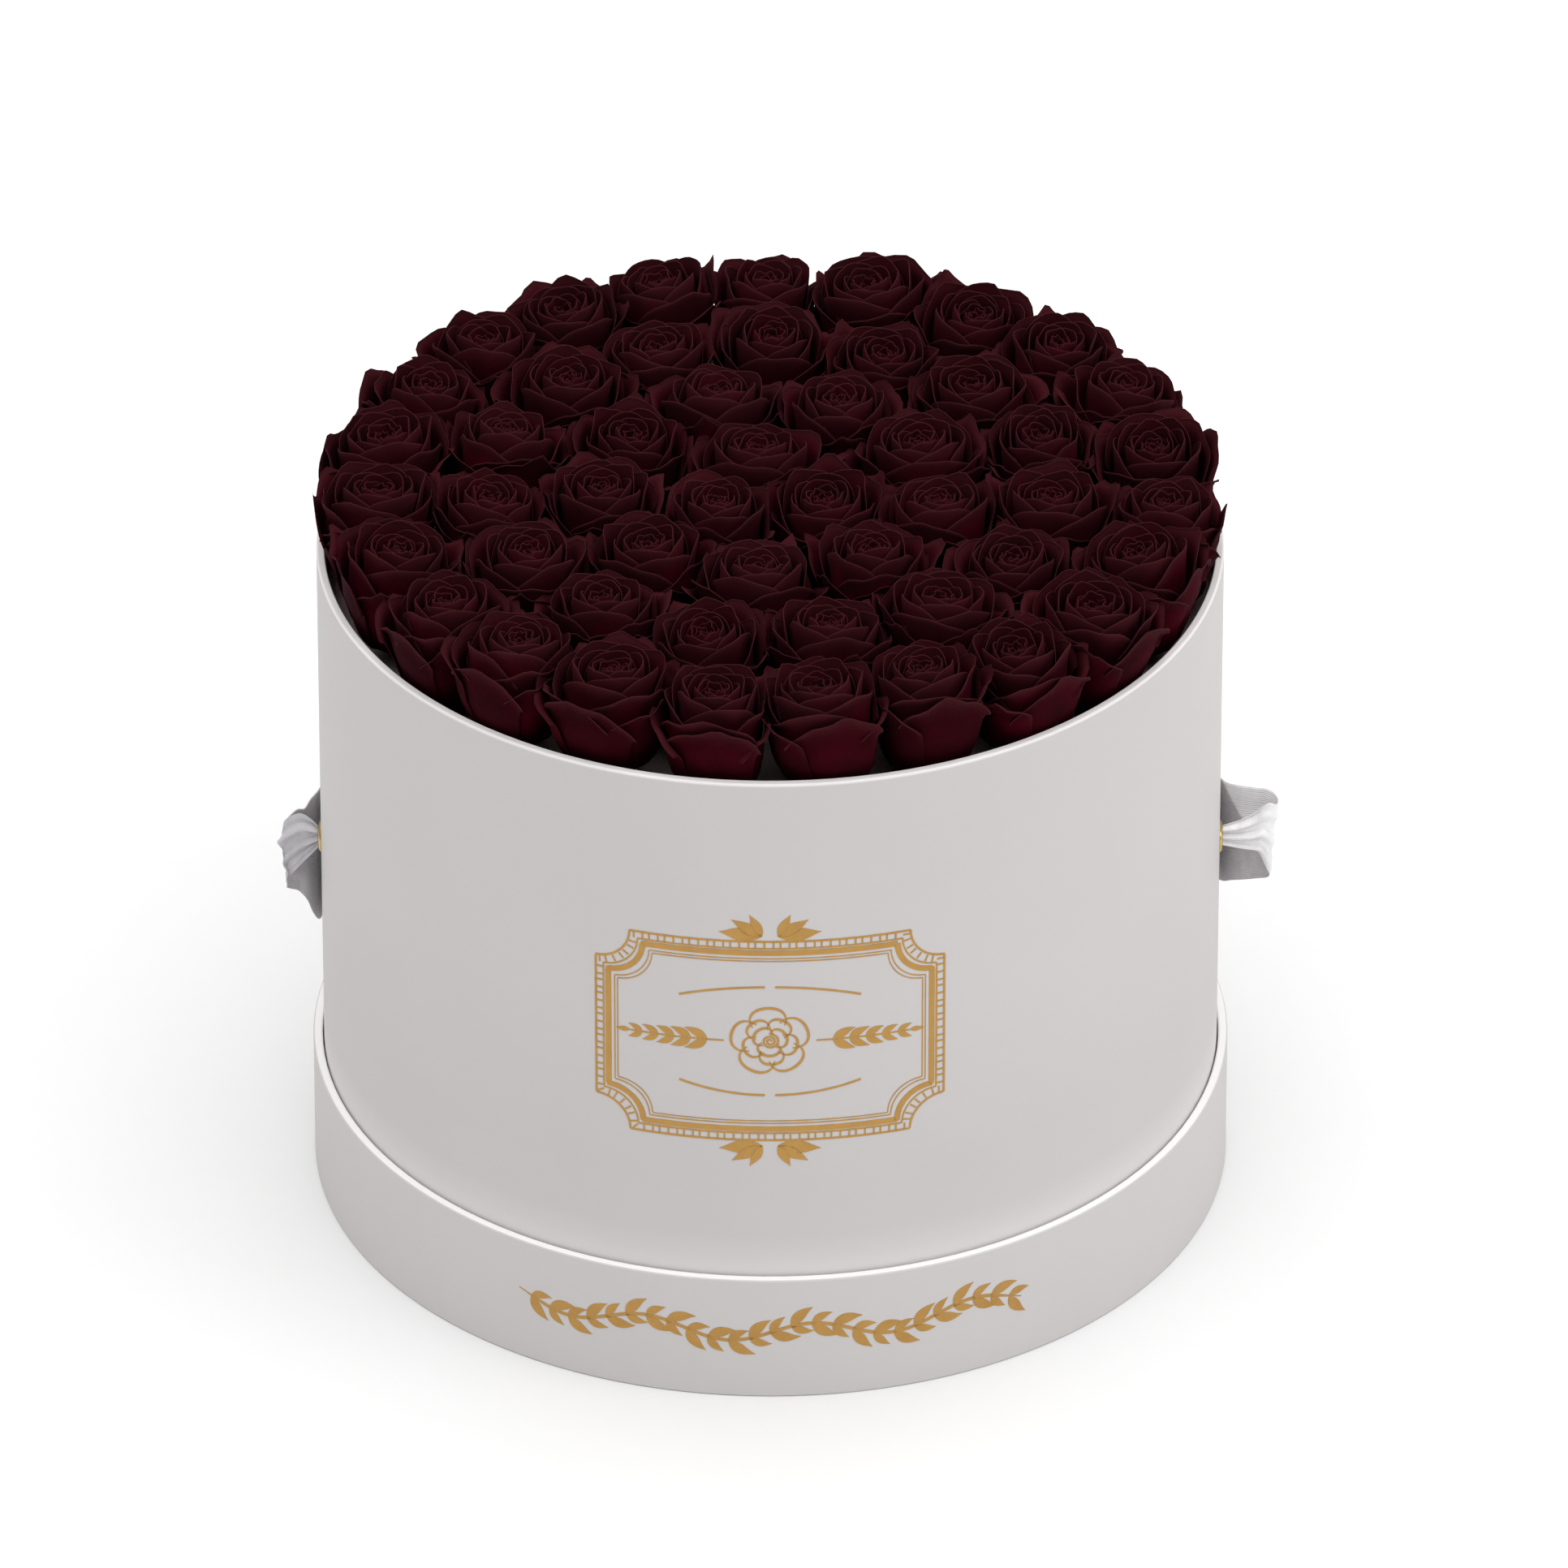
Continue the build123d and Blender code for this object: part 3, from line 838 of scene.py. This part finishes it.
def add_ribbon(name, node, stations, mirror, phase, satin_and_painted_light, material):
    """A satin loop from eyelet to eyelet. Its share of bright colour tells how much of its bright face
    is outside; it is partly the satin's face and partly painted light, and a share of 0 paints the
    whole handle dull, as painted shade.

    Its middle line follows the stations, and each point lies between the upper and the lower
    edge. Where the ribbon is gathered, cosine pleats across it take up the spare width.
    """
    path, length = smooth_path(stations, RIBBON_ROWS)
    across = np.linspace(-1, 1, RIBBON_COLUMNS)[None, :]
    run = np.gradient(path[:, :2], axis=0)
    run /= np.linalg.norm(run, axis=1, keepdims=True)
    out = np.stack([run[:, 1], -run[:, 0]], 1)
    tall = path[:, 2] - path[:, 3]
    spare = np.clip(1 - tall / (RIBBON_WIDTH / MM), 0, 1)
    pleat = 3.0 * spare ** 1.5 * np.clip(tall / 14, 0.25, 1)
    folds = (
        np.cos(across * 9.5 + phase)
        + 0.6 * np.cos(across * 17 + 2 * phase + length[:, None] * 0.05)
    )
    shift = pleat[:, None] * folds * 0.6
    drape = 0.35 * np.sin(length[:, None] * 0.16 + across * 2.2 + phase)
    drape = drape * smooth_step(4, 20, tall)[:, None]
    crease, above, below = (path[:, k][:, None] for k in (4, 5, 6))
    folded = above * np.maximum(across - crease, 0) - below * np.maximum(crease - across, 0)
    shift = shift + drape + folded
    x = path[:, 0][:, None] + out[:, 0][:, None] * shift
    y = path[:, 1][:, None] + out[:, 1][:, None] * shift
    z = path[:, 3][:, None] + tall[:, None] * (across + 1) / 2
    world = np.stack([BOX_RADIUS + x * MM, y * MM, HANDLE_Z + z * MM], -1)
    distance = np.linalg.norm(world[..., :2], axis=-1)
    least = BOX_RADIUS + 1.0 * MM
    push = np.maximum(distance, least) / distance
    world[..., :2] *= push[..., None]
    world[..., 0] *= mirror
    # painted light: above the crease the outer face gets the bright colour, where the fold turns to
    # the light
    turned = smooth_step(0, 0.05, (across - crease) * (above > 0.5))
    satin = np.stack([turned, np.ones(world.shape[:2])]) * satin_and_painted_light
    if mirror < 0:  # the grid runs the other way across, so that its faces still point outwards
        world, satin = world[:, ::-1], satin[:, :, ::-1]
    points, faces = sheet_shell(world, np.full(world.shape[:2], RIBBON_THICKNESS))
    width, height = np.meshgrid(np.linspace(0, 1, RIBBON_COLUMNS) * RIBBON_WIDTH, length * MM)
    weave = np.tile(np.stack([height, width], -1).reshape(-1, 2), (2, 1))
    piece = add_piece(
        name, points, faces, material, None,
        values={"satin": satin.ravel()}, uv=weave, uv_name="weave",
    )
    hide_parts(node)
    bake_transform(piece)


# ---------------------------------------------------------------- gold foil

FOIL = 0.12 * MM  # how far the foil stands out from its wall
FOIL_SUNK = 0.05 * MM  # how far its back lies in the wall


def foil_strip(path, widths, radius):
    """A line of foil on a round wall, of a changing width, with a thin box section.

    The path is given unrolled: along the wall from its front, and up. Each point gets two
    corners on the wall and two a foil's thickness out, and the strip is closed at its ends.
    """
    path = np.asarray(path, float)
    run = np.gradient(path, axis=0)
    run /= np.maximum(np.linalg.norm(run, axis=1, keepdims=True), 1e-12)
    side = np.stack([-run[:, 1], run[:, 0]], 1)
    half = (np.asarray(widths, float) * np.ones(len(path)))[:, None] / 2
    left, right = path + side * half, path - side * half
    flat = np.stack([right, left, left, right], 1)
    out = radius + np.array([-FOIL_SUNK, -FOIL_SUNK, FOIL, FOIL])[None, :]
    angle = flat[..., 0] / radius
    points = np.stack([out * np.sin(angle), -out * np.cos(angle), flat[..., 1]], -1)
    return points.reshape(-1, 3), tube_faces(len(path), 4)


def add_foil(name, strips, radius, material, body):
    """Many strips of foil as one piece: each is a path on the wall and its widths."""
    points, faces = join([foil_strip(path, widths, radius) for path, widths in strips])
    add_piece(name, points, faces, material, body, smooth=False)


def even_places(path, count):
    """Points evenly spaced along a path."""
    gaps = np.linalg.norm(np.diff(path, axis=0), axis=1)
    length = np.concatenate([[0], np.cumsum(gaps)])
    even = np.linspace(0, length[-1], count)
    return np.stack([np.interp(even, length, path[:, k]) for k in range(2)], 1)


def ticket_outline(half_width, half_height, corner, centre):
    """A rectangle with quarter circles cut out of its corners, once round and closed."""
    turn = np.linspace(0, np.pi / 2, 40)
    cuts = []
    for sx, sy, order in ((1, 1, 1), (1, -1, -1), (-1, -1, 1), (-1, 1, -1)):
        x = sx * (half_width - corner * np.cos(turn))
        y = sy * (half_height - corner * np.sin(turn))
        cut = np.stack([x, y], 1)
        cuts.append(cut if order > 0 else cut[::-1])
    outline = np.concatenate(cuts + [cuts[0][:1]])
    return even_places(outline, 480) + np.asarray(centre)


def turning_path(start, heading, size, bend, share):
    """A path of a given size whose heading turns evenly along it, with a point at each share."""
    angle = heading + bend * share
    step = np.stack([np.cos(angle), np.sin(angle)], 1) * size / (len(share) - 1)
    return np.asarray(start) + np.concatenate([[[0, 0]], np.cumsum(step[1:], axis=0)])


def leaf(start, heading, size, bend):
    """A leaf as a curved strip that is widest near its middle: (path, widths)."""
    share = np.linspace(0, 1, 15)
    widths = 0.36 * size * np.sin(np.pi * share ** 0.8) ** 1.2 + 0.02 * MM
    return turning_path(start, heading, size, bend, share), widths


def curved_line(start, heading, size, bend, width):
    """A thin line whose heading turns evenly along it: (path, width)."""
    return turning_path(start, heading, size, bend, np.linspace(0, 1, 24)), width


def sprig(start, heading, size, turn):
    """A stem with pairs of leaves that shrink towards its tip."""
    strips = [curved_line(start, heading, size, turn, 0.7 * MM)]
    path = strips[0][0]
    for share in (0.18, 0.36, 0.54, 0.72, 0.88):
        place = path[int(share * (len(path) - 1))]
        here = heading + turn * share
        leaf_size = size * (0.30 - 0.14 * share)
        for side in (1, -1):
            strips.append(leaf(place, here + side * 0.75, leaf_size, -side * 0.5))
    strips.append(leaf(path[-1], heading + turn, size * 0.16, 0))
    return strips


def line_rose(centre, size):
    """A rose drawn as a spiral bud in rings of petal outlines, each ring turned by half a step.

    Each ring has its inner and outer reach, as shares of the size, and its number of petals.
    """
    turn = np.linspace(0, 4.5 * np.pi, 90)
    grow = size * (0.03 + 0.20 * turn / turn[-1])
    spiral = np.stack([grow * np.cos(turn), grow * np.sin(turn)], 1) + np.asarray(centre)
    strips = [(spiral, 0.9 * MM)]
    share = np.linspace(-1, 1, 28)
    rings = ((0.22, 0.44, 3), (0.38, 0.70, 5), (0.62, 1.0, 5))
    for ring, (inner, outer, number) in enumerate(rings):
        round_top = (1 - share ** 4) * (1 + 0.06 * np.cos(3 * share))
        reach = size * (inner + (outer - inner) * round_top)
        for place in range(number):
            turn = 2 * np.pi * (place + 0.5 * ring) / number + 0.4 + share * 1.18 * np.pi / number
            path = np.stack([reach * np.cos(turn), reach * np.sin(turn)], 1) + np.asarray(centre)
            strips.append((path, MM * (0.45 + 0.75 * (1 - share ** 2))))
    return strips


def dashes(path, count, length, width):
    """Short strips set across a path, evenly spaced along it."""
    strips = []
    for step in np.linspace(0, len(path) - 2, count, endpoint=False).astype(int):
        run = path[step + 1] - path[step]
        half = np.array([-run[1], run[0]]) / np.linalg.norm(run) * length / 2
        strips.append((np.linspace(path[step] - half, path[step] + half, 3), width))
    return strips


def add_wall_foil(material):
    """A ticket-shaped frame of rules and dashes, with a line rose, two sprigs and four curved
    lines inside it, and three leaves each way above and below it."""
    centre, corner = (0.0, 0.1636), 14 * MM
    frame_width, frame_height = 69.2 * MM, 46.0 * MM  # half the outer rule's size
    rules = ((0, 0.9), (3.2, 0.7), (5.2, 2.4), (7.8, 0.45), (9.0, 0.45))  # inwards, and width, in mm
    strips = []
    for inwards, width in rules:
        outline = ticket_outline(
            frame_width - inwards * MM, frame_height - inwards * MM, corner, centre)
        strips.append((outline, width * MM))
    between_rules = ticket_outline(
        frame_width - 1.6 * MM, frame_height - 1.6 * MM, corner, centre)
    strips += dashes(between_rules, 132, 2.8 * MM, 0.7 * MM)
    strips += line_rose(centre, 15 * MM)
    for side in (1, -1):
        heading = 0.0 if side > 0 else np.pi
        start = (centre[0] + side * 18 * MM, centre[1])
        strips += sprig(start, heading, 37 * MM, 0)
        for up in (1, -1):
            start = (centre[0] + side * 2 * MM, centre[1] + up * 25 * MM)
            strips.append(curved_line(start, heading, 34 * MM, -side * up * 0.30, 0.9 * MM))
            start = (centre[0] + side * 3 * MM, centre[1] + up * 48.5 * MM)
            for turn, size in ((0.1, 17), (0.55, 14), (1.1, 11)):
                strips.append(leaf(start, up * (np.pi / 2 - side * (np.pi / 2 - turn)), size * MM, 0))
    add_foil("wall_foil", strips, BOX_RADIUS, material, "box")


def add_lid_foil(material):
    """A garland round the front of the lid: a waving stem with evenly spaced pairs of leaves."""
    middle, half_length, swing, wave = 30.0 * MM, 104 * MM, 4.0 * MM, 10.4 * MM
    pitch, pairs_each_way, long_leaf, short_leaf = 8.2 * MM, 12, 12.5 * MM, 9.5 * MM
    along = np.linspace(-half_length, half_length, 500)
    path = np.stack([along, middle + swing * np.sin(along / wave)], 1)
    taper = np.clip((half_length - np.abs(along)) / (12 * MM), 0.25, 1)
    strips = [(path, 1.5 * MM * taper)]
    for index in range(-pairs_each_way, pairs_each_way + 1):
        place = index * pitch
        height = middle + swing * np.sin(place / wave)
        slope = np.arctan(swing / wave * np.cos(place / wave))
        side = 1 if index % 2 else -1
        strips.append(leaf((place, height), slope + side * 0.9, long_leaf, -side * 0.7))
        strips.append(leaf((place, height), slope - side * 0.9, short_leaf, side * 0.7))
    add_foil("lid_foil", strips, LID_RADIUS, material, "tray")


# ---------------------------------------------------------------- assembly

def give(node, material):
    """Put a finish in every slot of a CAD node."""
    slots = bpy.data.objects[node].data.materials
    if not slots:
        slots.append(material)
    for index in range(len(slots)):
        slots[index] = material


grain_group = make_grain_group()

add_camera()
add_stage()

box_paper, lid_paper = box_finish(), lid_finish()
brass, ribbon, foil = brass_finish(), ribbon_finish(), foil_finish()
floral_foam = grained_finish(
    "floral_foam", (0.36, 0.28, 0.255), (0.50, 0.41, 0.38), 0.95, 60, 700, (0.5, 0.0006))
white_foam = grained_finish(
    "white_foam", (0.72, 0.72, 0.72), (0.82, 0.82, 0.82), 0.8, 40, 260, (0.5, 0.0008))
for node, finish in (
    ("box_tube", box_paper), ("box_base", lid_paper), ("tray_ring", lid_paper),
    ("tray_panel", lid_paper), ("eyelets", brass), ("ribbon_knots", ribbon),
    ("foam_block", floral_foam), ("filler_block", white_foam),
):
    give(node, finish)

add_roses()
# the left handle gets only the dull colours: painted shade, as the light falls from the right
add_ribbon("handle_right_ribbon", "ribbon_right", RIGHT_HANDLE, 1, 0.4, 1.0, ribbon)
add_ribbon("handle_left_ribbon", "ribbon_left", LEFT_HANDLE, -1, 2.1, 0.0, ribbon)
add_wall_foil(foil)
add_lid_foil(foil)
